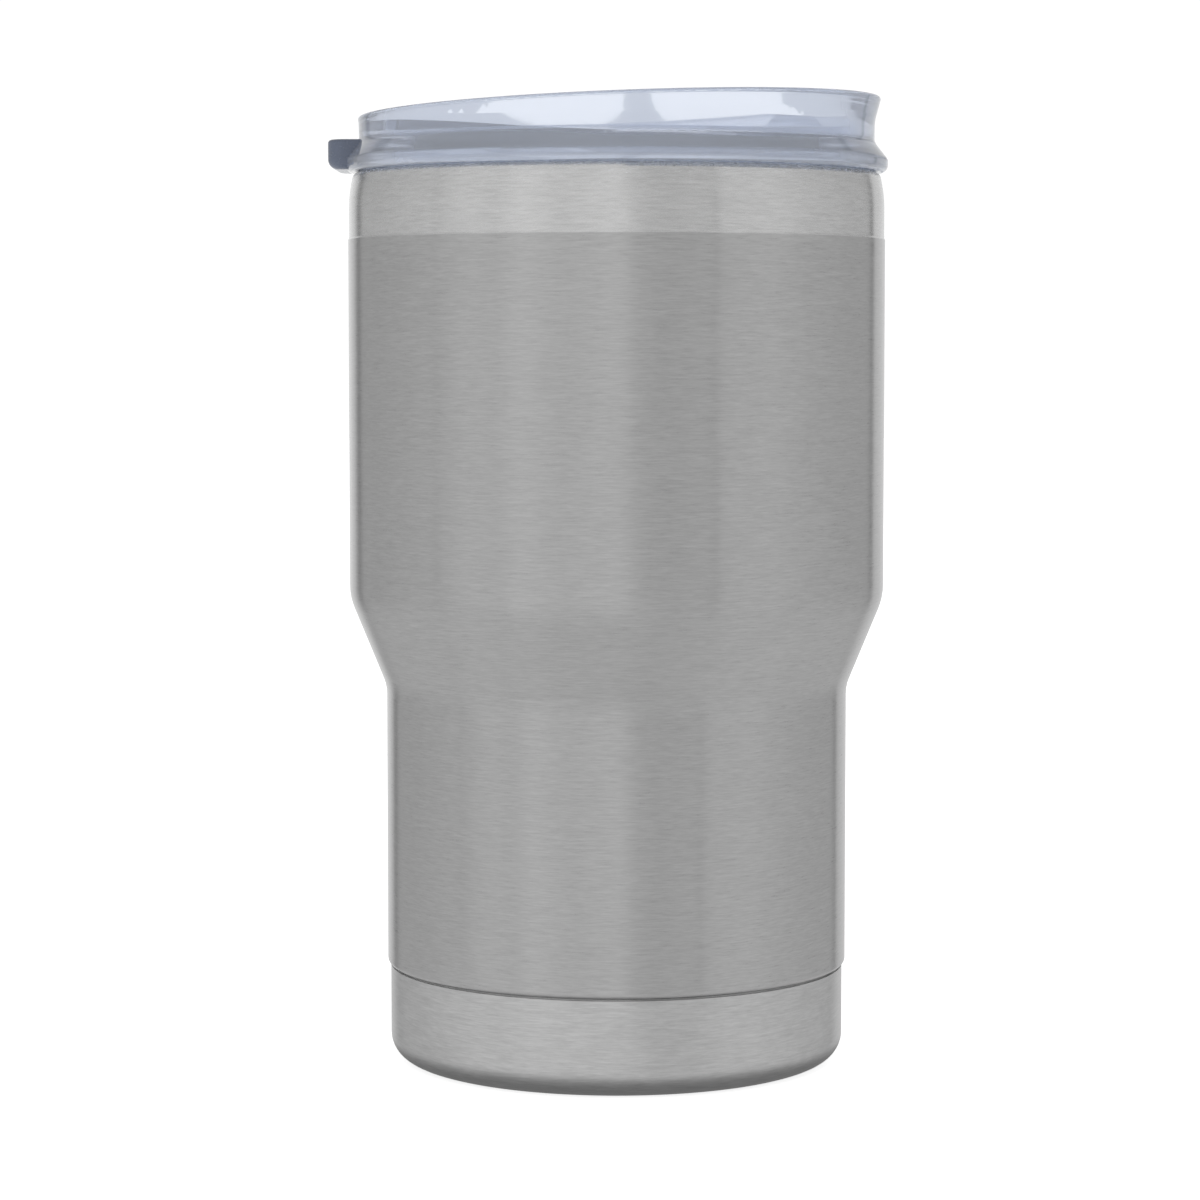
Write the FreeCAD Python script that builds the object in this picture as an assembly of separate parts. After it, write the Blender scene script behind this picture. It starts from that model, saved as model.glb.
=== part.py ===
"""Insulated tumbler with a press-in lid and a sliding closure.

The tumbler is a double-walled steel vessel. An outer shell and a liner are joined at the mouth, and a plate
closes the shell's lower end, so the space between them holds a vacuum. A base cup covers that plate. The lid
is a clear moulding with a plug that goes into the mouth, a silicone gasket round the plug, a dark thumb tab
to lift it by, and a slider that closes the drinking hole.

Millimetres, +Z up. The origin is the centre of the foot, on the surface it stands on. The drinking side is
+X and the thumb tab is at -X. Each sub-part is written to parts/NODE.step.
"""

import FreeCAD, Part  # noqa: E401  FreeCAD has to come first
import math
import os

V = FreeCAD.Vector
ORIGIN = V(0, 0, 0)
Z_AXIS = V(0, 0, 1)

# ---- Driving dimensions: vessel ----
body_r = 44.5             # outside radius above the shoulder
grip_r = 38.4             # outside radius below the shoulder, which goes into a cup holder
base_step = 0.5           # how far the base cup stands back from the grip
rim_z = 147.7             # top of the mouth
shoulder_top_z = 77.6     # where the shoulder cone would meet the upper wall
shoulder_bottom_z = 62.75  # where it would meet the lower wall
seam_z = 15.9             # top edge of the base cup
sheet = 0.5               # wall of every pressed steel piece
vacuum_gap = 2.3          # between the shell and the liner
band_height = 11.0        # bare band below the mouth, above the finish of the rest
band_step = 0.15          # how far the bare band stands back from it
rim_draw_in = 0.9         # how far the shell's wall closes in below the mouth
rim_draw_height = 3.9     # over this height
rim_bend = 1.0            # outer corner of the mouth
liner_rim_bend = 0.4      # corner of the liner's outer face, under the mouth
rim_draw_bend = 20.0
band_bend = 0.3
shoulder_top_bend = 10.0
shoulder_bottom_bend = 7.0
joggle_height = 0.45      # from the base cup's edge up to the shell's full radius
joggle_bend = 0.7
joggle_inner_bend = 0.25
neck_fit = 0.05           # gap between the shell's neck and the base cup
neck_bottom_z = 5.2       # lower end of the shell, where the vacuum plate is welded

# ---- Driving dimensions: floor of the vessel ----
liner_bottom_z = 11.0     # underside of the liner's floor
liner_corner_bend = 7.0
floor_weld_r = 27.0       # joint between the liner's wall piece and its floor disc
floor_rise = 1.0          # raised middle of the floor disc
floor_rise_r = 17.0
floor_slope = 3.0         # radial width of the slope round the raised middle
vacuum_plate_z = 6.8      # underside of the vacuum plate
vacuum_flange_bend = 0.9
seal_pit_r = 5.0          # pit in the vacuum plate that holds the sealing glass
seal_pit_depth = 1.5
seal_pit_slope = 1.5
evacuation_hole_r = 0.8
seal_bead_r = 4.4
seal_bead_height = 1.1
foot_groove = 0.9         # depth of the ring groove that stiffens the foot
foot_groove_r = 27.0      # middle of the groove
foot_groove_width = 6.0
foot_groove_slope = 1.5
foot_bend = 4.4           # corner between the base cup's wall and its foot
dish_bend = 1.0           # corners of every shallow step in a pressed floor

# ---- Driving dimensions: what the vacuum space holds ----
foil = 0.15               # copper foil round the liner
foil_gap = 0.05
foil_margin = 5.0         # between the foil's edges and the ends of each straight wall
getter_r = 4.0
getter_height = 1.4
getter_cap_sheet = 0.25
getter_cap_lip = 2.0      # width of the cap's welded rim
getter_cap_bend = getter_cap_sheet

# ---- Driving dimensions: lid ----
lid_gap = 0.1             # between the lid's flange and the mouth
flange_reach = 0.4        # how far the flange stands out past the upper wall
flange_height = 2.1       # straight edge of the flange, corners included
flange_bottom_bend = 1.15
flange_top_bend = 1.0
waist_draw_in = 1.8       # from the upper wall to the lid's narrowest outside radius
waist_rise = 4.9          # from the flange's underside to where the wall is upright
waist_height = 3.4        # upright part of the wall
waist_bend = 1.5
flare_bend = 6.0
lip_draw_in = 0.7         # from the upper wall to the top of the drinking side
lip_rise = 12.4           # from the flange's underside to the rim at the drinking side
back_rise = 9.1           # and at the thumb tab
deck_rise = 4.25          # and to the top of the deck's level part
ramp_start = 1.5          # from the middle of the lid back to the foot of the deck's ramp
ramp_rise = 3.85          # how far the deck climbs from there to the wall at the thumb tab
rim_wall = 3.5            # wall above the deck, at the top of the drinking side
deck = 1.5                # deck thickness
seat_bend = 0.35          # corner under the flange
rim_outer_round = 0.45
rim_inner_round = 0.35
plug_gap = 0.7            # between the plug and the liner
plug_depth = 9.5          # below the mouth
plug_wall = 1.9
plug_bend = 0.6
groove_depth = 0.9
groove_height = 3.6
groove_drop = 3.2         # from the mouth down to the groove
sip_inset = 11.5          # from the wall's inside to the middle of the drinking hole
sip_width = 9.0           # along X
sip_length = 20.0         # along Y
sip_round = 0.4
vent_inset = 13.3         # from the wall's inside to the middle of the vent
vent_r = 1.2

# ---- Driving dimensions: gasket ----
gasket_gap = 0.1          # between the gasket and its groove
fin_reach = 0.15          # between the gasket's fins and the liner
fin_thickness = 0.75
fin_rise = 0.35           # how far a fin's tip stands above its root
fin_tip_bend = 0.25

# ---- Driving dimensions: thumb tab ----
tab_reach = 2.9           # how far the tab stands out past the upper wall
tab_lift = 0.3            # from the lid's underside to the tab's
tab_width = 18.0
tab_top_rise = 5.2        # from the lid's underside to the tab's top
tab_corner = 3.0
tab_bottom_round = 1.7
tab_top_round = 0.6
tongue_width = 10.0       # tongue that holds the tab in the lid's wall
tongue_depth = 1.2
tongue_thickness = 1.8
tongue_rise = 2.2         # from the lid's underside to the tongue
tongue_fit = 0.05

# ---- Driving dimensions: slider ----
slider_gap = 0.15         # clearance on every sliding face
slider_half_width = 12.5
slider_plate = 1.5
slider_tail = 13.8        # from the middle of the drinking hole to the slider's rear edge
slider_travel = 14.0
slider_front_gap = 2.7    # between the slider's front edge and the rim's inside, when closed
slider_corner = 1.2
slider_crown = 1.0        # middle part that stands up between the rails' lips
slider_crown_round = 0.5
rail_wall = 1.6
rail_lip = 1.4
rail_lip_thickness = 0.8
rail_round = 0.3
stop_length = 1.5
knob_length = 9.6         # along X, at its foot
knob_half_width = 8.5
knob_rise = 2.6
knob_top_inset = 2.2      # how far its ends lean in from foot to top
knob_round = 1.2
seal_pad_margin = 1.3     # how far the slider's seal reaches past the drinking hole
seal_pad = 1.0
pad_bead = 0.05           # height of the bead on the slider's seal
pad_bead_width = 0.8

# ---- Derived sizes ----
liner_r = body_r - 2 * sheet - vacuum_gap          # inside radius of the liner's upper wall
lower_liner_r = grip_r - 2 * sheet - vacuum_gap
base_cup_r = grip_r - base_step
neck_r = base_cup_r - sheet - neck_fit
rim_r = body_r - rim_draw_in
band_r = body_r - band_step
band_z = rim_z - band_height
weld_r = (rim_r + liner_r) / 2                     # where shell and liner meet on top of the mouth
lid_z = rim_z + lid_gap                            # underside of the lid's flange
flange_r = body_r + flange_reach
waist_r = body_r - waist_draw_in
lip_r = body_r - lip_draw_in
lip_z = lid_z + lip_rise
back_z = lid_z + back_rise
deck_z = lid_z + deck_rise
rim_inner_r = lip_r - rim_wall
tab_r = body_r + tab_reach
plug_r = liner_r - plug_gap
groove_r = plug_r - groove_depth
cavity_r = groove_r - (plug_wall - groove_depth)
groove_top_z = rim_z - groove_drop
plug_bottom_z = rim_z - plug_depth
deck_bottom_z = deck_z - deck
ramp_slope = ramp_rise / (rim_inner_r - ramp_start)
sip_x = rim_inner_r - sip_inset
vent_x = vent_inset - rim_inner_r
slider_rear_x = sip_x - slider_tail
slider_bottom_z = deck_z + slider_gap
slider_top_z = slider_bottom_z + slider_plate
rail_inner_y = slider_half_width + slider_gap
rail_lip_y = rail_inner_y - rail_lip
rail_lip_z = slider_top_z + slider_gap
rail_top_z = rail_lip_z + rail_lip_thickness
slider_front_r = rim_inner_r - slider_front_gap


# ---- Outlines: a point is (radius, height, bend radius) ----
def corner_arc(before, at, after, bend):
    """The start, middle and end of the arc that rounds the corner 'at'."""
    back = (before - at).normalize()
    ahead = (after - at).normalize()
    half = back.getAngle(ahead) / 2
    reach = bend / math.tan(half)
    middle = (back + ahead).normalize() * (bend / math.sin(half) - bend)
    return at + back * reach, at + middle, at + ahead * reach


def line_edges(points):
    """Edges of the line through the points, with its inner corners rounded."""
    at = [V(r, 0, z) for r, z, _ in points]
    edges = []
    start = at[0]
    for i in range(1, len(at) - 1):
        bend = points[i][2]
        if bend > 0:
            first, middle, last = corner_arc(at[i - 1], at[i], at[i + 1], bend)
            if (first - start).Length > 1e-6:
                edges.append(Part.LineSegment(start, first).toShape())
            edges.append(Part.Arc(first, middle, last).toShape())
            start = last
        else:
            edges.append(Part.LineSegment(start, at[i]).toShape())
            start = at[i]
    edges.append(Part.LineSegment(start, at[-1]).toShape())
    return edges


def shifted(points, distance):
    """The same line moved to its left by a distance, with the same centres for its bends."""
    count = len(points)
    ways = []
    for (r0, z0, _), (r1, z1, _) in zip(points, points[1:]):
        length = math.hypot(r1 - r0, z1 - z0)
        ways.append(((r1 - r0) / length, (z1 - z0) / length))
    moved = []
    for i, (r, z, bend) in enumerate(points):
        before = ways[max(i - 1, 0)]
        after = ways[min(i, count - 2)]
        scale = distance / (1 + before[0] * after[0] + before[1] * after[1])
        turn = before[0] * after[1] - before[1] * after[0]
        if turn > 1e-9:
            bend = max(bend - distance, 0)
        elif turn < -1e-9:
            bend = bend + distance
        moved.append((r - (before[1] + after[1]) * scale, z + (before[0] + after[0]) * scale, bend))
    return moved


def pressed(points, thickness):
    """A round pressed piece: the line and its left-hand copy, closed and turned about Z."""
    other = shifted(points, thickness)
    near, far = line_edges(points), line_edges(other)
    caps = []
    for i in (0, -1):
        a, b = V(points[i][0], 0, points[i][1]), V(other[i][0], 0, other[i][1])
        caps.append(Part.LineSegment(a, b).toShape())
    return turned(near + far + caps)


def turned(edges):
    """A solid of revolution about Z from the edges of a closed outline."""
    wire = Part.Wire(Part.__sortEdges__(edges))
    solid = Part.Face(wire).revolve(ORIGIN, Z_AXIS, 360)
    if solid.Volume < 0:
        solid.reverse()
    return solid


def moulded(points):
    """A solid of revolution from a closed outline of (radius, height, bend radius) points."""
    return turned(line_edges(points + [points[0]]))


def box(x0, x1, y0, y1, z0, z1):
    return Part.makeBox(x1 - x0, y1 - y0, z1 - z0, V(x0, y0, z0))


def slot(x, width, length, z0, z1):
    """An upright bar of round-ended section, long in Y, centred on x."""
    r, reach = width / 2, length / 2 - width / 2
    middle = box(x - r, x + r, -reach, reach, z0, z1)
    ends = [Part.makeCylinder(r, z1 - z0, V(x, y, z0)) for y in (-reach, reach)]
    return middle.multiFuse(ends).removeSplitter()


def edges_at(shape, test):
    """The shape's edges whose bounding box passes the test."""
    return [e for e in shape.Edges if test(e.BoundBox)]


def export(shape, name):
    shape.exportStep(os.path.join("parts", name + ".step"))


# ---- Vessel ----
def make_outer_shell():
    """Drawn shell: neck, joggle above the base cup, grip, shoulder, upper wall and rolled mouth."""
    full_z = seam_z + joggle_height
    return pressed([
        (neck_r, neck_bottom_z, 0),
        (neck_r, full_z - joggle_height / 4, joggle_inner_bend),
        (grip_r, full_z, joggle_bend),
        (grip_r, shoulder_bottom_z, shoulder_bottom_bend),
        (body_r, shoulder_top_z, shoulder_top_bend),
        (body_r, band_z, band_bend),
        (band_r, band_z + 2 * band_step, band_bend),
        (band_r, rim_z - rim_draw_height, rim_draw_bend),
        (rim_r, rim_z, rim_bend),
        (weld_r, rim_z, 0),
    ], sheet)


def make_inner_liner():
    """Liner wall: it follows the shell across the vacuum gap and turns out to meet it at the mouth."""
    shoulder = shifted([
        (grip_r, 0, 0),
        (grip_r, shoulder_bottom_z, shoulder_bottom_bend),
        (body_r, shoulder_top_z, shoulder_top_bend),
        (body_r, rim_z, 0),
    ], sheet + vacuum_gap)[1:3]
    return pressed([
        (floor_weld_r, liner_bottom_z, 0),
        (lower_liner_r + sheet, liner_bottom_z, liner_corner_bend),
        *shoulder,
        (liner_r + sheet, rim_z - sheet, liner_rim_bend),
        (weld_r, rim_z - sheet, 0),
    ], sheet)


def make_inner_bottom():
    """Floor disc of the liner, with a raised middle."""
    return pressed([
        (0, liner_bottom_z + floor_rise, 0),
        (floor_rise_r, liner_bottom_z + floor_rise, dish_bend),
        (floor_rise_r + floor_slope, liner_bottom_z, dish_bend),
        (floor_weld_r, liner_bottom_z, 0),
    ], sheet)


def make_vacuum_plate():
    """Plate that closes the shell's lower end. Its pit holds the sealing glass over the evacuation hole."""
    flange_r_inside = neck_r - 2 * sheet
    return pressed([
        (evacuation_hole_r, vacuum_plate_z + seal_pit_depth, 0),
        (seal_pit_r, vacuum_plate_z + seal_pit_depth, dish_bend / 2),
        (seal_pit_r + seal_pit_slope, vacuum_plate_z, dish_bend / 2),
        (flange_r_inside, vacuum_plate_z, vacuum_flange_bend),
        (flange_r_inside, neck_bottom_z, 0),
    ], sheet)


def make_seal_bead():
    """Glass that was melted into the pit, with a stub in the evacuation hole."""
    top = vacuum_plate_z + seal_pit_depth
    return moulded([
        (0, top - seal_bead_height, 0),
        (seal_bead_r, top - seal_bead_height, seal_bead_height * 0.8),
        (seal_bead_r, top, 0),
        (evacuation_hole_r, top, 0),
        (evacuation_hole_r, top + sheet / 2, 0),
        (0, top + sheet / 2, 0),
    ])


def make_base_cup():
    """Cup over the shell's neck, which the tumbler stands on."""
    near, far = foot_groove_r - foot_groove_width / 2, foot_groove_r + foot_groove_width / 2
    return pressed([
        (0, 0, 0),
        (near, 0, dish_bend),
        (near + foot_groove_slope, foot_groove, dish_bend),
        (far - foot_groove_slope, foot_groove, dish_bend),
        (far, 0, dish_bend),
        (base_cup_r, 0, foot_bend),
        (base_cup_r, seam_z, 0),
    ], sheet)


def make_foil(wall_r, z0, z1):
    """Copper foil wrapped round one straight wall of the liner, to shade it from the shell."""
    inner = wall_r + sheet + foil_gap
    height = z1 - z0 - 2 * foil_margin
    at = V(0, 0, z0 + foil_margin)
    return Part.makeCylinder(inner + foil, height, at).cut(Part.makeCylinder(inner, height, at))


def make_getter_pellet():
    """Pellet that takes up the last of the gas, pressed against the floor disc."""
    top = liner_bottom_z + floor_rise
    return Part.makeCylinder(getter_r, getter_height, V(0, 0, top - getter_height))


def make_getter_cap():
    """Thin cap that holds the pellet, welded to the floor disc by its rim."""
    top = liner_bottom_z + floor_rise
    r = getter_r + getter_cap_sheet
    bottom = top - getter_height - getter_cap_sheet
    return pressed([
        (0, bottom, 0),
        (r, bottom, getter_cap_bend),
        (r, top - getter_cap_sheet, getter_cap_bend / 2),
        (r + getter_cap_lip, top - getter_cap_sheet, 0),
    ], getter_cap_sheet)


# ---- Lid ----
def above_rim():
    """Everything above the lid's sloping rim, as a solid to cut away."""
    slope = math.degrees(math.atan2(lip_z - back_z, lip_r + waist_r))
    middle_z = (lip_z * waist_r + back_z * lip_r) / (lip_r + waist_r)
    size = 3 * body_r
    block = box(-size, size, -size, size, 0, size)
    block.rotate(ORIGIN, V(0, -1, 0), slope)
    block.translate(V(0, 0, middle_z))
    return block


def under_deck(drop):
    """Everything below the deck, lowered by 'drop': level in front, with a ramp towards the thumb tab."""
    size = 3 * body_r
    level = deck_z - drop
    points = [(size, 0), (size, level), (-ramp_start, level),
              (-size, level + ramp_slope * (size - ramp_start)), (-size, 0), (size, 0)]
    face = Part.Face(Part.makePolygon([V(x, -size, z) for x, z in points]))
    return face.extrude(V(0, 2 * size, 0))


def above_deck():
    """Open space over the deck, inside the lid's wall, as a solid to cut away."""
    return Part.makeCylinder(rim_inner_r, 4 * lip_rise, V(0, 0, lid_z)).cut(under_deck(0))


def below_deck():
    """Hollow of the plug, up to the deck's underside, as a solid to cut away."""
    return Part.makeCylinder(cavity_r, 4 * lip_rise, V(0, 0, groove_top_z)).common(under_deck(deck))


def lid_outline():
    """Half section of the lid's round body, before its rim, deck and plug are cut out."""
    spare_z = lip_z + 3
    spare_flare = (lip_r - waist_r) * 3 / (lip_z - lid_z - waist_rise - waist_height)
    return [
        (0, spare_z, 0),
        (lip_r + spare_flare, spare_z, 0),
        (waist_r, lid_z + waist_rise + waist_height, flare_bend),
        (waist_r, lid_z + waist_rise, waist_bend),
        (flange_r, lid_z + flange_height, flange_top_bend),
        (flange_r, lid_z, flange_bottom_bend),
        (plug_r, lid_z, seat_bend),
        (plug_r, groove_top_z, 0),
        (groove_r, groove_top_z, 0),
        (groove_r, groove_top_z - groove_height, 0),
        (plug_r, groove_top_z - groove_height, 0),
        (plug_r, plug_bottom_z, plug_bend),
        (cavity_r, plug_bottom_z, plug_bend),
        (cavity_r, groove_top_z, 0),
        (0, groove_top_z, 0),
    ]


def rail(side):
    """One slider rail with its lip, its front and rear stops, on the +Y or -Y side."""
    rear_x = slider_rear_x - slider_travel - slider_gap - stop_length
    front_x = math.sqrt(slider_front_r**2 - rail_lip_y**2) + slider_gap
    y_in, y_lip = rail_inner_y, rail_lip_y
    wall = box(rear_x, front_x + stop_length, y_in, y_in + rail_wall, deck_z, rail_top_z)
    lip = box(rear_x, front_x + stop_length, y_lip, y_in, rail_lip_z, rail_top_z)
    stops = [box(x, x + stop_length, y_lip, y_in, deck_z, rail_lip_z) for x in (rear_x, front_x)]
    shape = wall.multiFuse([lip, *stops]).removeSplitter()
    top = edges_at(shape, lambda b: b.ZMin > rail_top_z - 1e-3)
    shape = shape.makeFillet(rail_round, top)
    return shape if side > 0 else shape.mirror(ORIGIN, V(0, 1, 0))


def tongue(grow):
    """The thumb tab's tongue, grown by a clearance for its slot in the lid's wall."""
    y = tongue_width / 2 + grow
    z = lid_z + tongue_rise - grow
    return box(-flange_r, -(waist_r - tongue_depth - grow), -y, y, z, z + tongue_thickness + 2 * grow)


def round_rim(body, rounding, outside):
    """Round the outer or the inner edge of the sloping rim."""
    def on_rim(b):
        return b.ZLength > 1 and b.XLength > rim_inner_r and (b.XMax > rim_inner_r + 1) == outside
    return body.makeFillet(rounding, edges_at(body, on_rim))


def make_lid_body():
    """Clear moulding: wall, deck, plug with its gasket groove, slider rails, drinking and vent holes."""
    body = moulded(lid_outline()).cut(above_rim()).cut(above_deck()).cut(below_deck())
    body = round_rim(body, rim_outer_round, True)
    body = round_rim(body, rim_inner_round, False)
    body = body.multiFuse([rail(1), rail(-1)]).removeSplitter()
    hole = slot(sip_x, sip_width, sip_length, deck_bottom_z - 1, deck_z + 1)
    vent = Part.makeCylinder(vent_r, deck + ramp_rise + 2, V(vent_x, 0, deck_bottom_z - 1))
    body = body.cut(hole).cut(vent)
    hole_edges = edges_at(body, lambda b: b.XMin > sip_x - sip_width / 2 - 0.1
                          and b.XMax < sip_x + sip_width / 2 + 0.1
                          and b.YLength > 1 and b.ZLength < 1e-3)
    body = body.makeFillet(sip_round, hole_edges)
    return body.cut(tongue(tongue_fit))


def make_lid_gasket():
    """Silicone ring in the plug's groove, with two fins that wipe the liner."""
    back_r = groove_r + gasket_gap
    root_r = plug_r
    tip_r = liner_r - fin_reach
    top, bottom = groove_top_z - gasket_gap, groove_top_z - groove_height + gasket_gap
    points = [(back_r, bottom, 0), (root_r, bottom, 0)]
    for z in (bottom + fin_thickness * 0.5, top - fin_thickness * 2):
        points += [
            (root_r, z, 0.1),
            (tip_r, z + fin_rise, fin_tip_bend),
            (tip_r, z + fin_rise + fin_thickness * 0.8, fin_tip_bend),
            (root_r, z + fin_thickness, 0.1),
        ]
    points += [(root_r, top, 0), (back_r, top, 0)]
    return moulded(points)


def make_thumb_tab(lid_body):
    """Dark tab at the back of the lid: a rounded block that fits the lid's wall and is held by a tongue."""
    half = tab_width / 2
    bottom = lid_z + tab_lift
    top = lid_z + tab_top_rise
    block = box(-tab_r, -waist_r + 4, -half, half, bottom, top)
    upright = edges_at(block, lambda b: b.XMax < -tab_r + 1e-3 and b.ZLength > 1)
    block = block.makeFillet(tab_corner, upright)
    inside = -waist_r + 4
    low = edges_at(block, lambda b: b.ZMax < bottom + 1e-3 and b.XMin < inside - 1e-3)
    block = block.makeFillet(tab_bottom_round, low)
    high = edges_at(block, lambda b: b.ZMin > top - 1e-3 and b.XMin < inside - 1e-3)
    block = block.makeFillet(tab_top_round, high)
    core = Part.makeCylinder(waist_r, tab_top_rise + 2, V(0, 0, lid_z - 1))
    tab = block.cut(core).cut(lid_body)
    tab = max(tab.Solids, key=lambda s: s.Volume)
    return tab.fuse(tongue(0)).removeSplitter()


# ---- Slider ----
def seal_slot(grow, z0, z1):
    """Bar over the drinking hole, larger than it by the pad's margin and by 'grow'."""
    margin = 2 * (seal_pad_margin + grow)
    return slot(sip_x, sip_width + margin, sip_length + margin, z0, z1)


def make_knob(crown_z):
    """Raised bar across the slider's crown, which a finger pushes: its ends lean in towards a rounded top."""
    foot, half = knob_length / 2, knob_half_width
    tip = foot - knob_top_inset
    z0, z1 = crown_z - 0.3, crown_z + knob_rise
    points = [(-foot, z0), (-foot, crown_z), (-tip, z1), (tip, z1), (foot, crown_z), (foot, z0), (-foot, z0)]
    face = Part.Face(Part.makePolygon([V(sip_x + x, -half, z) for x, z in points]))
    bar = face.extrude(V(0, 2 * half, 0))
    return bar.makeFillet(knob_round, edges_at(bar, lambda b: b.ZMin > z1 - 1e-3))


def make_slider():
    """Plate that runs under the rails' lips, with a crown between them and a raised knob."""
    half = slider_half_width
    disc = Part.makeCylinder(slider_front_r, 10, V(0, 0, slider_bottom_z))
    crown_half = rail_lip_y - slider_gap
    crown_z = slider_top_z + slider_crown
    layers = []
    for y, z0, z1 in ((half, slider_bottom_z, slider_top_z), (crown_half, slider_top_z - 0.5, crown_z)):
        layer = box(slider_rear_x, slider_front_r, -y, y, z0, z1)
        rear = edges_at(layer, lambda b: b.XMax < slider_rear_x + 1e-3 and b.YLength < 1e-3)
        layers.append(layer.makeFillet(slider_corner, rear).common(disc))
    plate, crown = layers
    crown = crown.makeFillet(slider_crown_round, edges_at(crown, lambda b: b.ZMin > crown_z - 1e-3))
    shape = plate.multiFuse([crown, make_knob(crown_z)]).removeSplitter()
    return shape.cut(seal_slot(0, slider_bottom_z - 1, slider_bottom_z + seal_pad))


def make_slider_seal():
    """Silicone pad in the slider's underside, with a raised bead that rings the drinking hole."""
    pad = seal_slot(0, slider_bottom_z, slider_bottom_z + seal_pad)
    low = slider_bottom_z - pad_bead
    ring = seal_slot(0, low, slider_bottom_z).cut(seal_slot(-pad_bead_width, low, slider_bottom_z))
    return pad.fuse(ring).removeSplitter()


def main():
    os.makedirs("parts", exist_ok=True)
    lid_body = make_lid_body()
    pieces = {
        "outer_shell": make_outer_shell(),
        "inner_liner": make_inner_liner(),
        "inner_bottom": make_inner_bottom(),
        "vacuum_plate": make_vacuum_plate(),
        "seal_bead": make_seal_bead(),
        "base_cup": make_base_cup(),
        "foil_upper": make_foil(liner_r, shoulder_top_z, rim_z - rim_draw_height),
        "foil_lower": make_foil(lower_liner_r, liner_bottom_z + liner_corner_bend, shoulder_bottom_z),
        "getter_pellet": make_getter_pellet(),
        "getter_cap": make_getter_cap(),
        "lid_body": lid_body,
        "lid_gasket": make_lid_gasket(),
        "thumb_tab": make_thumb_tab(lid_body),
        "slider": make_slider(),
        "slider_seal": make_slider_seal(),
    }
    for name, shape in pieces.items():
        export(shape, name)
        print(name, "solids", len(shape.Solids), "volume", round(shape.Volume, 1), "valid", shape.isValid())


main()
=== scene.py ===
"""Insulated tumbler: finishes for every piece, a plain studio and a camera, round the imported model."""

import math

import bpy
from bpy.props import FloatProperty, FloatVectorProperty, PointerProperty
from mathutils import Euler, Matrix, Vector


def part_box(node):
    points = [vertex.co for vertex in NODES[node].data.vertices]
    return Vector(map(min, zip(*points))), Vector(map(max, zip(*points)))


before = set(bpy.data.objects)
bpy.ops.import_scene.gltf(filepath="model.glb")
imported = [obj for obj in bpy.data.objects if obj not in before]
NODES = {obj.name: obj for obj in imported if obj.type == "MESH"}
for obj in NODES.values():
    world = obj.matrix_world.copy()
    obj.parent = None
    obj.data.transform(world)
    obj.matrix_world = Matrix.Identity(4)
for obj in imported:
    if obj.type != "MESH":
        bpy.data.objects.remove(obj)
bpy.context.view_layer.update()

bl_info = {
    "name": "Insulated Tumbler",
    "version": (1, 0, 0),
    "blender": (4, 5, 0),
    "location": "3D View > Sidebar > Tumbler",
    "description": "Gives the tumbler its finishes and sets it in a plain studio",
    "category": "Object",
}

MM = 0.001
MOUTH_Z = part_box("outer_shell")[1].z    # top of the steel mouth

# ---- Brushing ----
# (distance between hairlines, about how long each runs round the wall, share of the whole)
HAIRLINES = ((0.2 * MM, 2.2 * MM, 0.6), (0.34 * MM, 5.0 * MM, 0.4))
HAIRLINE_TONE = 0.13        # how far the hairlines lighten and darken the steel
HAIRLINE_ROUGHNESS = 0.04   # and how far they change its roughness
BAND_EDGE = 0.05 * MM       # half the width of the change from brushed steel to the bare band

# ---- Floor and walls ----
FLOOR_REACH = 4.0           # half the floor's side
FLOOR_GLOW = 0.72           # share of the backdrop's brightness that the floor gives out itself
FOOT_SHADE = 0.2            # brightness of the shade under the foot, as the steel mirrors it
FOOT_SHADE_IN = 36.5 * MM   # the shade is whole this far from the axis
FOOT_SHADE_OUT = 46.0 * MM  # and gone here
TABLE_FADE = (-0.12, -0.5)  # heights of a reflection's direction between which walls give way to the table
BENEATH_FADE = (-0.90, -1.0)  # and between which the table gives way to what lies straight below

# Soft walls round the studio: (direction in degrees from the camera's side, brightness). The narrow dark
# places near -145, 42 and 141 degrees are gaps between one wall and the next.
STUDIO_WALLS = (
    (-180, 1.05), (-164, 0.86), (-151, 0.62), (-147, 0.22), (-143.5, 0.22), (-141, 0.52), (-125, 0.525),
    (-92, 0.63), (-84.5, 0.65), (-83, 0.52), (-81.5, 0.66), (-66, 0.76), (-52, 0.72), (-42, 0.85),
    (-24, 0.73), (2, 0.82), (9, 0.64), (20, 0.57), (40.8, 0.62), (42.2, 0.36), (43.8, 0.68), (70, 0.73),
    (88, 0.64), (114, 0.56), (138.5, 0.52), (140, 0.14), (142, 0.14), (144, 0.66), (158, 0.70), (178, 0.90),
)

# ---- Lit panels behind the lid ----
SOFT_BOX_BEHIND = 0.4       # from the tumbler's axis back to the panels
SOFT_BOX_HEIGHT = 0.30
SOFT_BOX_GLOW = 1.1
SOFT_BOX_SQUASH = 0.6       # height of a rounded lower corner over its width
SOFT_BOX_STEPS = 12         # straight runs round a corner

# Name, left, right, bottom, then how far its left and right lower corners are rounded, in metres
SOFT_BOXES = (
    ("soft_box_left", -0.046, 0.0026, 0.1795, 0.028, 0.012),
    ("soft_box_right", 0.0122, 0.066, 0.1790, 0.012, 0.010),
)

SENSOR_WIDTH = 36.0         # of the camera, in millimetres


# ---- Settings ----
def colour(name, description, default):
    return FloatVectorProperty(name=name, description=description, default=default, subtype="COLOR",
                               size=3, min=0.0, max=1.0)


def factor(name, description, default, maximum=1.0):
    return FloatProperty(name=name, description=description, default=default, min=0.0, max=maximum)


def length(name, description, default):
    return FloatProperty(name=name, description=description, default=default, unit="LENGTH")


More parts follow.
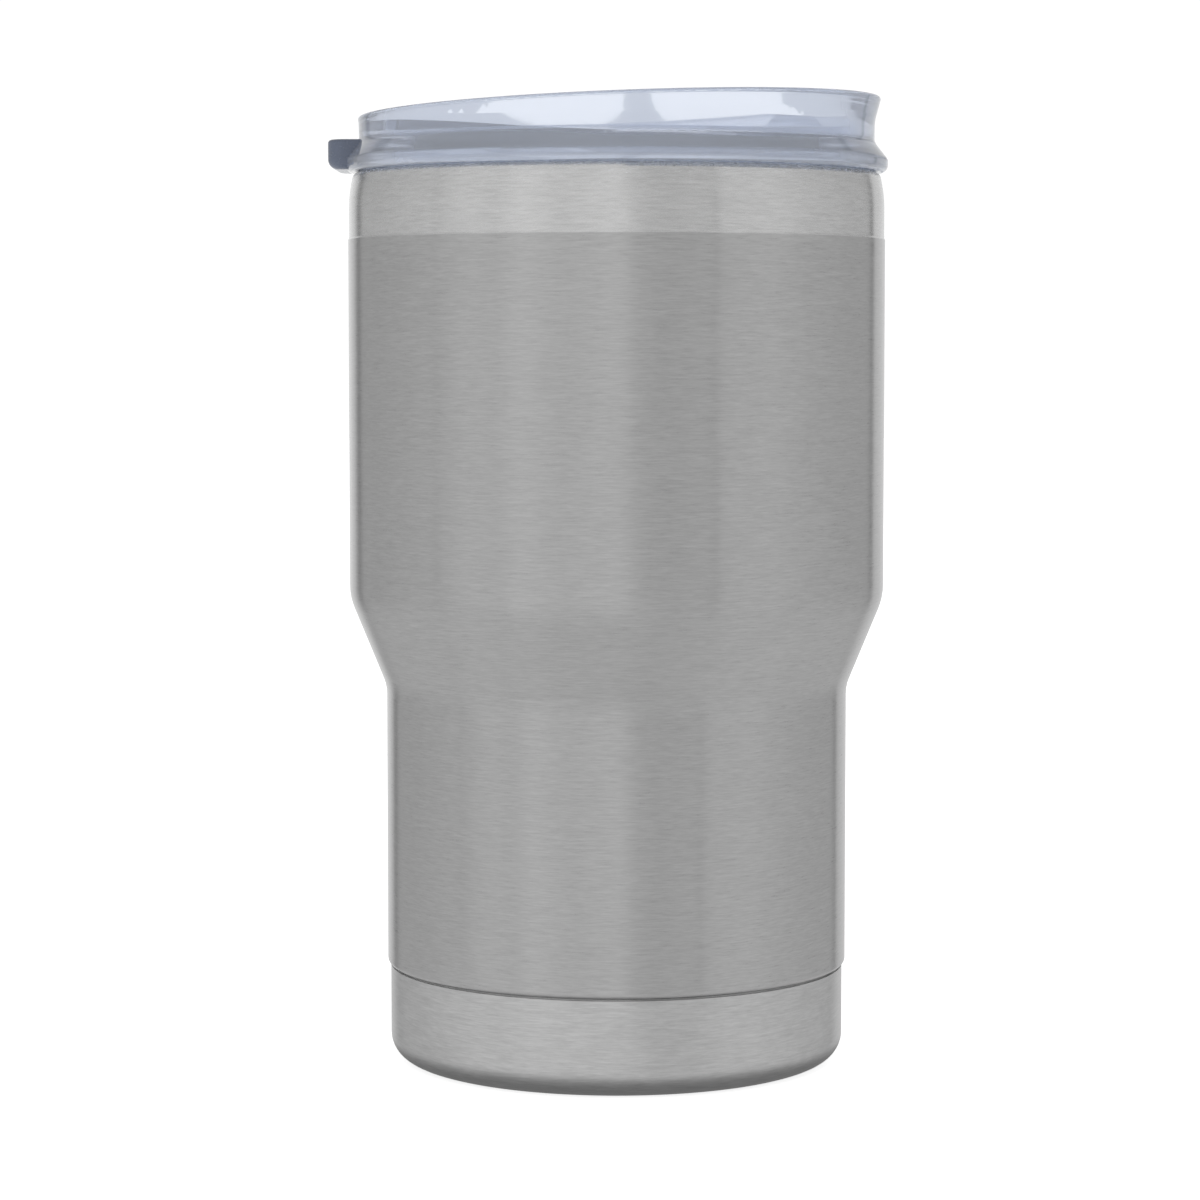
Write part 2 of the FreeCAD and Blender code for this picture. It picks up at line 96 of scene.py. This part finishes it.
class TumblerSteel(bpy.types.PropertyGroup):
    grip_colour: colour("Grip colour", "Brushed steel between the base cup and the bare band",
                        (0.535, 0.535, 0.535))
    grip_roughness: factor("Grip roughness", "Spread of reflections on the brushed steel", 0.30)
    grip_grain: factor("Grip grain", "How far the brushing draws reflections out, up and down", 1.0)
    band_colour: colour("Band colour", "Bare steel below the mouth", (0.685, 0.685, 0.685))
    band_roughness: factor("Band roughness", "Spread of reflections on the bare band", 0.27)
    base_colour: colour("Base colour", "Satin steel of the base cup", (0.59, 0.59, 0.59))
    base_roughness: factor("Base roughness", "Spread of reflections on the base cup", 0.33)
    # The liner's colour is partly its own electropolished steel and partly painted light: it is lighter
    # than the steel alone, standing in for light that falls into the vessel through the lid.
    liner_colour_and_painted_light: colour("Liner colour", "Electropolished steel inside the vessel", (0.92, 0.92, 0.91))
    liner_roughness: factor("Liner roughness", "Spread of reflections inside the vessel", 0.3)
    band_height: length("Band height", "Height of the bare band below the mouth", 11.0 * MM)


class TumblerLid(bpy.types.PropertyGroup):
    tint: colour("Tint", "Colour of the clear plastic", (0.82, 0.86, 0.94))
    haze: factor("Haze", "Share of light that the clear plastic scatters", 0.24)
    depth_tint: colour("Depth tint", "Colour that thick plastic takes on", (0.60, 0.66, 0.76))
    depth_density: factor("Depth density", "How fast thick plastic takes on its colour, per metre",
                          14.0, 1000.0)
    ior: factor("Refraction", "Refractive index of the clear plastic", 1.5, 3.0)
    tab_colour: colour("Tab colour", "Smoked plastic of the thumb tab", (0.10, 0.12, 0.17))
    silicone_colour: colour("Silicone colour", "Translucent silicone of the gasket and the slider's seal",
                            (0.78, 0.80, 0.82))


class TumblerStudio(bpy.types.PropertyGroup):
    lens: FloatProperty(name="Lens", description="Focal length on a 36 mm sensor, in millimetres",
                        default=106.5)
    distance: length("Distance", "From the tumbler's axis to the camera", 0.5928)
    height: length("Height", "Camera height above the floor", 0.1193)
    pitch: FloatProperty(name="Pitch", description="Downward tilt of the camera",
                         default=math.radians(4.1), subtype="ANGLE")
    yaw: FloatProperty(name="Yaw", description="Turn of the camera to its left",
                       default=math.radians(0.266), subtype="ANGLE")
    fill: factor("Fill", "Brightness of the studio's walls in reflections", 1.0, 10.0)
    table: factor("Table", "Brightness of the reflection of the table round the tumbler", 0.69)
    through: colour("Through", "Unlit backdrop that shows through the clear lid", (0.60, 0.62, 0.66))
    beneath: factor("Beneath", "Brightness of reflections from straight below", 0.4)
    backdrop: factor("Backdrop", "Brightness of the backdrop that the camera sees", 1.05, 10.0)


# ---- Node helpers ----
class Tree:
    """A material's or world's node tree, with short calls to add and join nodes."""

    def __init__(self, owner):
        owner.use_nodes = True
        self.tree = owner.node_tree
        self.tree.nodes.clear()

    def add(self, kind, values=None, **settings):
        made = self.tree.nodes.new(kind)
        for key, value in settings.items():
            setattr(made, key, value)
        for key, value in (values or {}).items():
            self.put(made.inputs[key], value)
        return made

    def put(self, socket, value):
        if isinstance(value, bpy.types.Node):
            value = value.outputs[0]
        if isinstance(value, bpy.types.NodeSocket):
            self.tree.links.new(value, socket)
        else:
            socket.default_value = value

    def math(self, operation, a, b):
        return self.add("ShaderNodeMath", {0: a, 1: b}, operation=operation)

    def remap(self, value, low, high, to_low=0.0, to_high=1.0, smooth=False):
        return self.add("ShaderNodeMapRange", {
            "Value": value, "From Min": low, "From Max": high, "To Min": to_low, "To Max": to_high,
        }, interpolation_type="SMOOTHSTEP" if smooth else "LINEAR")

    def mix(self, share, a, b):
        made = self.add("ShaderNodeMix", data_type="RGBA")
        self.put(made.inputs[0], share)
        self.put(made.inputs[6], a)
        self.put(made.inputs[7], b)
        return made.outputs[2]

    def blend(self, share, first, second):
        """One shader that gives way to another."""
        return self.add("ShaderNodeMixShader", {0: share, 1: first, 2: second})

    def noise(self, vector, scale, detail=2.0, roughness=0.5, **settings):
        return self.add("ShaderNodeTexNoise", {
            "Vector": vector, "Scale": scale, "Detail": detail, "Roughness": roughness,
        }, **settings)

    def bump(self, height, strength, distance):
        return self.add("ShaderNodeBump", {"Height": height, "Strength": strength, "Distance": distance})

    def place(self):
        """The point on the piece, in metres in the tumbler's frame."""
        return self.add("ShaderNodeTexCoord").outputs["Object"]

    def axis_distance(self, place):
        """How far a point is from the tumbler's axis."""
        flat = self.add("ShaderNodeVectorMath", {0: place, 1: (1, 1, 0)}, operation="MULTIPLY")
        return self.add("ShaderNodeVectorMath", {0: flat.outputs[0]}, operation="LENGTH").outputs["Value"]

    def glow(self, strength):
        """Plain white light from a surface."""
        return self.add("ShaderNodeEmission", {"Color": (1, 1, 1, 1), "Strength": strength})

    def tinted(self, base, tone):
        """A colour made lighter or darker by a grey tone."""
        return self.add("ShaderNodeVectorMath", {0: base, 1: tone}, operation="MULTIPLY")


def rgba(colour_value):
    return (*colour_value, 1.0)


def new_material(name):
    made = bpy.data.materials.new(name)
    return made, Tree(made)


def clothe(material, *nodes):
    """Give carried-over pieces their finish."""
    for node in nodes:
        slots = NODES[node].data.materials
        slots.clear()
        slots.append(material)


# ---- Steel ----
def hairlines(tree, spacing, run):
    """Grey noise in lines round the axis: 'spacing' apart and about 'run' long, in metres."""
    place = tree.place()
    parts = tree.add("ShaderNodeSeparateXYZ", {0: place})
    stretched = tree.add("ShaderNodeCombineXYZ", {
        0: tree.math("DIVIDE", parts.outputs[0], run),
        1: tree.math("DIVIDE", parts.outputs[1], run),
        2: tree.math("DIVIDE", parts.outputs[2], spacing),
    })
    lines = tree.noise(stretched, 1.0, 3.0, 0.65, noise_dimensions="4D")
    tree.put(lines.inputs["W"], tree.math("DIVIDE", tree.axis_distance(place), spacing))
    return lines.outputs["Fac"]


def steel(name, base, roughness, grain, line_depth, mottle=0.0, band=None):
    """Brushed or satin steel. 'band' is (height, colour, roughness) of the finish above that height."""
    material, tree = new_material(name)
    place = tree.place()
    fine, coarse = (tree.math("MULTIPLY", hairlines(tree, spacing, run), share)
                    for spacing, run, share in HAIRLINES)
    lines = tree.math("ADD", fine, coarse)
    cloud = tree.noise(place, 120.0, 3.0)
    tone = tree.remap(lines, 0.35, 0.65, 1.0 - HAIRLINE_TONE, 1.0 + HAIRLINE_TONE)
    tone = tree.math("MULTIPLY", tone, tree.remap(cloud, 0.3, 0.7, 1.0 - mottle, 1.0 + mottle))
    colour_socket, rough_socket = tuple(base), roughness
    if band:
        band_z, band_colour, band_roughness = band
        height = tree.add("ShaderNodeSeparateXYZ", {0: place}).outputs[2]
        above = tree.remap(height, band_z - BAND_EDGE, band_z + BAND_EDGE)
        colour_socket = tree.mix(above, rgba(base), rgba(band_colour))
        rough_socket = tree.remap(above, 0.0, 1.0, roughness, band_roughness)
    uneven = tree.remap(lines, 0.3, 0.7, -HAIRLINE_ROUGHNESS, HAIRLINE_ROUGHNESS)
    rough = tree.math("ADD", rough_socket, uneven)
    bump = tree.bump(lines, line_depth, 0.02 * MM)
    tangent = tree.add("ShaderNodeTangent", direction_type="RADIAL", axis="Z")
    shader = tree.add("ShaderNodeBsdfPrincipled", {
        "Base Color": tree.tinted(colour_socket, tone), "Roughness": rough, "Metallic": 1.0,
        "Anisotropic": grain, "Anisotropic Rotation": 0.25, "Normal": bump, "Tangent": tangent,
    })
    tree.add("ShaderNodeOutputMaterial", {"Surface": shader})
    return material


# ---- Plastic and silicone ----
def clear_plastic(name, lid, roughness=0.03):
    """Clear moulded plastic with faint flow marks. Its thick places go bluer, and it lets light through."""
    material, tree = new_material(name)
    place = tree.place()
    flow = tree.noise(place, 60.0, 2.0)
    scuff = tree.noise(place, 900.0, 4.0, 0.7)
    rough = tree.math("ADD", roughness, tree.remap(scuff, 0.45, 0.8, 0.0, 0.05))
    bump = tree.bump(flow, 0.1, 0.2 * MM)
    shader = tree.add("ShaderNodeBsdfPrincipled", {
        "Base Color": rgba(lid.tint), "Roughness": rough, "Normal": bump,
    })
    shader.inputs["IOR"].default_value = lid.ior
    shader.inputs["Transmission Weight"].default_value = 1.0 - lid.haze
    depth = tree.add("ShaderNodeVolumeAbsorption")
    depth.inputs["Color"].default_value = rgba(lid.depth_tint)
    depth.inputs["Density"].default_value = lid.depth_density
    clear = tree.add("ShaderNodeBsdfTransparent", {"Color": rgba(lid.tint)})
    path = tree.add("ShaderNodeLightPath")
    shown = tree.blend(path.outputs["Is Shadow Ray"], shader, clear)
    tree.add("ShaderNodeOutputMaterial", {"Surface": shown, "Volume": depth})
    return material


def smoked_plastic(name, lid):
    """Dark plastic with a fine moulded grain."""
    material, tree = new_material(name)
    grain = tree.noise(tree.place(), 2500.0, 3.0)
    shader = tree.add("ShaderNodeBsdfPrincipled", {
        "Base Color": rgba(lid.tab_colour), "Roughness": tree.remap(grain, 0.3, 0.7, 0.18, 0.3),
        "Normal": tree.bump(grain, 0.2, 0.03 * MM),
    })
    shader.inputs["Coat Weight"].default_value = 0.3
    tree.add("ShaderNodeOutputMaterial", {"Surface": shader})
    return material


def silicone(name, lid):
    """Milky silicone, a little dusty."""
    material, tree = new_material(name)
    dust = tree.noise(tree.place(), 1500.0, 4.0, 0.7)
    shader = tree.add("ShaderNodeBsdfPrincipled", {
        "Base Color": rgba(lid.silicone_colour), "Roughness": tree.remap(dust, 0.3, 0.7, 0.45, 0.6),
        "Normal": tree.bump(dust, 0.2, 0.03 * MM),
    })
    shader.inputs["Transmission Weight"].default_value = 0.1
    shader.inputs["IOR"].default_value = 1.41
    tree.add("ShaderNodeOutputMaterial", {"Surface": shader})
    return material


def inner_finish(name, base, roughness, scale, metallic=1.0):
    """Plain finish of a piece that nobody sees until the vessel is taken apart."""
    material, tree = new_material(name)
    cloud = tree.noise(tree.place(), scale, 4.0, 0.6)
    tone = tree.remap(cloud, 0.3, 0.7, 0.85, 1.1)
    shader = tree.add("ShaderNodeBsdfPrincipled", {
        "Base Color": tree.tinted(base, tone), "Metallic": metallic,
        "Roughness": tree.remap(cloud, 0.3, 0.7, roughness - 0.08, roughness + 0.08),
        "Normal": tree.bump(cloud, 0.3, 0.05 * MM),
    })
    tree.add("ShaderNodeOutputMaterial", {"Surface": shader})
    return material


# ---- Operators ----
class TUMBLER_OT_shell(bpy.types.Operator):
    """Brush the outer shell and leave its band bare"""
    bl_idname = "tumbler.shell"
    bl_label = "Finish outer shell"

    def execute(self, context):
        looks = context.scene.tumbler_steel
        band = (MOUTH_Z - looks.band_height, looks.band_colour, looks.band_roughness)
        material = steel("brushed_shell", looks.grip_colour, looks.grip_roughness, looks.grip_grain, 0.25,
                         mottle=0.01, band=band)
        clothe(material, "outer_shell")
        return {"FINISHED"}


class TUMBLER_OT_base(bpy.types.Operator):
    """Give the base cup its satin finish"""
    bl_idname = "tumbler.base"
    bl_label = "Finish base cup"

    def execute(self, context):
        looks = context.scene.tumbler_steel
        material = steel("satin_base", looks.base_colour, looks.base_roughness, 0.3, 0.15, mottle=0.03)
        clothe(material, "base_cup")
        return {"FINISHED"}


class TUMBLER_OT_liner(bpy.types.Operator):
    """Polish the liner and its floor"""
    bl_idname = "tumbler.liner"
    bl_label = "Finish liner"

    def execute(self, context):
        looks = context.scene.tumbler_steel
        # Painted light: the liner's colour is lighter than its steel alone, standing in for light that
        # falls in through the lid.
        material = steel("polished_liner_painted_light", looks.liner_colour_and_painted_light, looks.liner_roughness, 0.5, 0.1, mottle=0.02)
        clothe(material, "inner_liner", "inner_bottom")
        return {"FINISHED"}


class TUMBLER_OT_vacuum(bpy.types.Operator):
    """Finish what the vacuum space holds"""
    bl_idname = "tumbler.vacuum"
    bl_label = "Finish vacuum parts"

    def execute(self, context):
        pressed = inner_finish("pressed_plate", (0.52, 0.52, 0.51), 0.4, 300.0)
        foil = inner_finish("copper_foil", (0.85, 0.47, 0.33), 0.25, 150.0)
        powder = inner_finish("getter_powder", (0.16, 0.16, 0.17), 0.7, 2500.0)
        glass = inner_finish("bead_glass", (0.10, 0.11, 0.10), 0.2, 400.0, metallic=0.0)
        clothe(pressed, "vacuum_plate", "getter_cap")
        clothe(foil, "foil_upper", "foil_lower")
        clothe(powder, "getter_pellet")
        clothe(glass, "seal_bead")
        return {"FINISHED"}


class TUMBLER_OT_lid(bpy.types.Operator):
    """Finish the clear lid, its tab, its seals and its slider"""
    bl_idname = "tumbler.lid"
    bl_label = "Finish lid and slider"

    def execute(self, context):
        looks = context.scene.tumbler_lid
        clothe(clear_plastic("clear_lid", looks), "lid_body")
        clothe(clear_plastic("clear_slider", looks, 0.06), "slider")
        clothe(smoked_plastic("smoked_tab", looks), "thumb_tab")
        clothe(silicone("clear_silicone", looks), "lid_gasket", "slider_seal")
        return {"FINISHED"}


class TUMBLER_OT_stage(bpy.types.Operator):
    """Lay the floor, light the studio and place the camera"""
    bl_idname = "tumbler.stage"
    bl_label = "Build stage"

    def execute(self, context):
        studio = context.scene.tumbler_studio
        self.floor(studio)
        self.light(context.scene, studio)
        for name, left, right, low, soft_left, soft_right in SOFT_BOXES:
            self.soft_box(name, left, right, low, soft_left, soft_right)
        self.camera(context.scene, studio)
        return {"FINISHED"}

    def sheet(self, name, corners, material):
        """One flat face of the stage."""
        mesh = bpy.data.meshes.new(name)
        mesh.from_pydata(corners, [], [tuple(range(len(corners)))])
        mesh.materials.append(material)
        made = bpy.data.objects.new(name, mesh)
        bpy.context.scene.collection.objects.link(made)
        return made

    def floor(self, studio):
        """Pale paper. Mirrored in the steel, it is only the shade under the foot."""
        material, tree = new_material("floor_paper")
        fleck = tree.noise(tree.place(), 300.0, 4.0)
        grey = tree.mix(fleck, rgba((0.78,) * 3), rgba((0.82,) * 3))
        paper = tree.add("ShaderNodeBsdfDiffuse", {"Color": grey})
        seen = tree.add("ShaderNodeAddShader", {0: paper, 1: tree.glow(FLOOR_GLOW * studio.backdrop)})
        beyond = tree.remap(tree.axis_distance(tree.place()), FOOT_SHADE_IN, FOOT_SHADE_OUT, smooth=True)
        clear = tree.add("ShaderNodeBsdfTransparent")
        mirrored = tree.blend(beyond, tree.glow(FOOT_SHADE), clear)
        path = tree.add("ShaderNodeLightPath")
        shown = tree.blend(path.outputs["Is Glossy Ray"], seen, mirrored)
        tree.add("ShaderNodeOutputMaterial", {"Surface": shown})
        sides = ((-1, -1), (1, -1), (1, 1), (-1, 1))
        self.sheet("floor", [(x * FLOOR_REACH, y * FLOOR_REACH, 0) for x, y in sides], material)

    def soft_box(self, name, left, right, low, soft_left, soft_right):
        """A lit panel behind the tumbler, which only the clear lid shows: rounded below, open above."""
        top = low + SOFT_BOX_HEIGHT
        corners = [(left, top)]
        for x, reach, turn in ((left, soft_left, 1), (right, soft_right, -1)):
            arc = []
            for i in range(SOFT_BOX_STEPS + 1):
                angle = i / SOFT_BOX_STEPS * math.pi / 2
                rise = SOFT_BOX_SQUASH * reach * (1 - math.sin(angle))
                arc.append((x + turn * reach * (1 - math.cos(angle)), low + rise))
            corners += arc if turn > 0 else arc[::-1]
        corners.append((right, top))
        material, tree = new_material(name)
        tree.add("ShaderNodeOutputMaterial", {"Surface": tree.glow(SOFT_BOX_GLOW)})
        made = self.sheet(name, [(x, SOFT_BOX_BEHIND, z) for x, z in corners], material)
        made.visible_camera = made.visible_diffuse = made.visible_glossy = made.visible_shadow = False

    def light(self, scene, studio):
        """White behind the tumbler, a grey backdrop through the clear lid and soft walls in the steel."""
        world = bpy.data.worlds.new("studio")
        scene.world = world
        tree = Tree(world)
        facing = tree.add("ShaderNodeSeparateXYZ", {0: tree.add("ShaderNodeTexCoord").outputs["Generated"]})
        turn = tree.math("ARCTAN2", facing.outputs[0], tree.math("MULTIPLY", facing.outputs[1], -1.0))
        ramp = tree.add("ShaderNodeValToRGB", {0: tree.remap(turn, -math.pi, math.pi)})
        self.paint(ramp.color_ramp)
        height = facing.outputs[2]
        table = tree.remap(height, *TABLE_FADE, smooth=True)
        beneath = tree.remap(height, *BENEATH_FADE, studio.table, studio.beneath, smooth=True)
        below = tree.add("ShaderNodeCombineXYZ", {0: beneath, 1: beneath, 2: beneath})
        level = tree.mix(table, ramp.outputs[0], below)
        walls = tree.add("ShaderNodeBackground", {"Color": level, "Strength": studio.fill})
        backdrop = tree.add("ShaderNodeBackground", {"Color": (1, 1, 1, 1), "Strength": studio.backdrop})
        path = tree.add("ShaderNodeLightPath")
        through = tree.add("ShaderNodeBackground", {"Color": rgba(studio.through)})
        lit = tree.blend(path.outputs["Is Transmission Ray"], walls, through)
        shown = tree.blend(path.outputs["Is Camera Ray"], lit, backdrop)
        tree.add("ShaderNodeOutputWorld", {"Surface": shown})
        scene.view_settings.view_transform = "Standard"

    def paint(self, ramp):
        """Set the walls' brightness all round."""
        ramp.elements.remove(ramp.elements[-1])
        for i, (angle, level) in enumerate(STUDIO_WALLS):
            turned = (angle + 180) / 360
            stop = ramp.elements.new(turned) if i else ramp.elements[0]
            stop.position = turned
            stop.color = rgba((level,) * 3)

    def camera(self, scene, studio):
        data = bpy.data.cameras.new("camera")
        data.lens = studio.lens
        data.sensor_width = SENSOR_WIDTH
        data.clip_start = 10.0 * MM
        made = bpy.data.objects.new("camera", data)
        scene.collection.objects.link(made)
        made.location = (0.0, -studio.distance, studio.height)
        made.rotation_euler = Euler((math.pi / 2 - studio.pitch, 0.0, studio.yaw))
        scene.camera = made


class TUMBLER_PT_panel(bpy.types.Panel):
    """The tumbler's steps and settings"""
    bl_idname = "TUMBLER_PT_panel"
    bl_label = "Tumbler"
    bl_space_type = "VIEW_3D"
    bl_region_type = "UI"
    bl_category = "Tumbler"

    def draw(self, context):
        for step in STEPS:
            self.layout.operator(step.bl_idname)
        for name in GROUPS:
            group = getattr(context.scene, name)
            box = self.layout.box()
            for key in group.bl_rna.properties.keys():
                if key not in ("rna_type", "name"):
                    box.prop(group, key)


STEPS = (TUMBLER_OT_shell, TUMBLER_OT_base, TUMBLER_OT_liner, TUMBLER_OT_vacuum, TUMBLER_OT_lid,
         TUMBLER_OT_stage)
GROUPS = {"tumbler_steel": TumblerSteel, "tumbler_lid": TumblerLid, "tumbler_studio": TumblerStudio}


def register():
    for made in (*GROUPS.values(), *STEPS, TUMBLER_PT_panel):
        bpy.utils.register_class(made)
    for name, group in GROUPS.items():
        setattr(bpy.types.Scene, name, PointerProperty(type=group))


def unregister():
    for name in GROUPS:
        delattr(bpy.types.Scene, name)
    for made in reversed((*GROUPS.values(), *STEPS, TUMBLER_PT_panel)):
        bpy.utils.unregister_class(made)


def main():
    register()
    bpy.ops.tumbler.shell()
    bpy.ops.tumbler.base()
    bpy.ops.tumbler.liner()
    bpy.ops.tumbler.vacuum()
    bpy.ops.tumbler.lid()
    bpy.ops.tumbler.stage()


if __name__ == "__main__":
    main()
